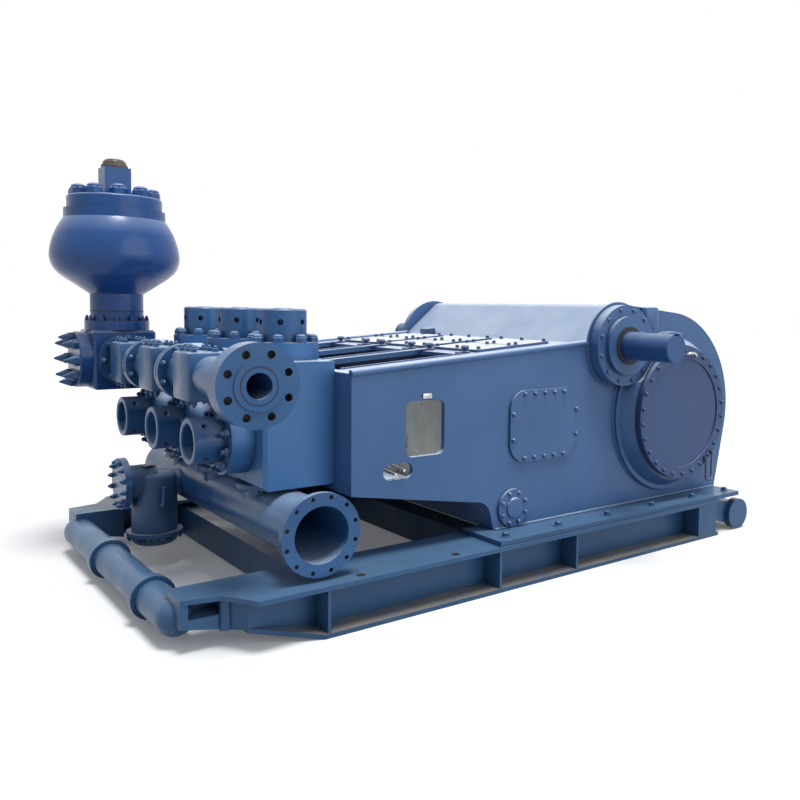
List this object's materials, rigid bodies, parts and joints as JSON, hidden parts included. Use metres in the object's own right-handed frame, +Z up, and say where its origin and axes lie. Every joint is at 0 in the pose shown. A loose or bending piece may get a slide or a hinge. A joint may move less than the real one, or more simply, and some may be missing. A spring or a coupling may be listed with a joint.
{
  "type": "triplex mud pump",
  "caption": "Horizontal three-cylinder plunger pump on a welded skid, with a pulsation dampener, geared power end, flanged suction and discharge and a turning pinion shaft.",
  "frame": {"origin": "middle of the skid's footprint, at the level it rests on", "axes": "+X from the fluid end to the gear end, +Z up, -Y towards the side with the suction and discharge flanges"},
  "size_m": [4.446, 3.35, 2.685],
  "materials": {
    "frame_paint": "semi-gloss steel blue enamel",
    "skid_paint": "semi-gloss steel blue enamel with tan dust on the lower flanges",
    "fluid_end_paint": "semi-gloss steel blue enamel",
    "dampener_paint": "semi-gloss steel blue enamel",
    "shaft_steel": "steel blue enamel over machined steel"
  },
  "bodies": {
    "pump": {"chamber_rear_wall": "frame_paint", "cross_blind_flange": "fluid_end_paint", "dampener_body": "dampener_paint", "dampener_cover": "dampener_paint", "dampener_valve_block": "dampener_paint", "deck_covers": "frame_paint", "discharge_cross": "fluid_end_paint", "discharge_manifold": "fluid_end_paint", "far_base_flange": "skid_paint", "far_bearing_boss": "frame_paint", "far_bearing_cover": "frame_paint", "far_crosshead_cover": "frame_paint", "far_cylinder_plug": "fluid_end_paint", "far_frame_wall": "frame_paint", "far_module": "fluid_end_paint", "far_pinion_hub": "frame_paint", "far_runner": "skid_paint", "far_sump_cover": "frame_paint", "far_valve_cap": "fluid_end_paint", "frame_deck": "frame_paint", "frame_front_plate": "frame_paint", "frame_underside": "frame_paint", "front_tow_pipe": "skid_paint", "gear_case_hood": "frame_paint", "gear_case_rear": "frame_paint", "middle_cylinder_plug": "fluid_end_paint", "middle_module": "fluid_end_paint", "middle_valve_cap": "fluid_end_paint", "near_base_flange": "skid_paint", "near_bearing_boss": "frame_paint", "near_bearing_cover": "frame_paint", "near_crosshead_cover": "frame_paint", "near_cylinder_plug": "fluid_end_paint", "near_frame_wall": "frame_paint", "near_module": "fluid_end_paint", "near_pinion_hub": "frame_paint", "near_runner": "skid_paint", "near_sump_cover": "frame_paint", "near_valve_cap": "fluid_end_paint", "rear_tow_pipe": "skid_paint", "skid_cross_beams": "skid_paint", "stabilizer_cover": "fluid_end_paint", "suction_manifold": "fluid_end_paint", "suction_stabilizer": "fluid_end_paint"},
    "pinion_shaft": {"pinion_shaft": "shaft_steel"}
  },
  "joints": [
    {"name": "pinion_spin", "type": "hinge", "parent": "pump", "child": "pinion_shaft", "pos_m": [0.905, 0, 1.462], "axis": [0, 1, 0], "continuous": true}
  ]
}
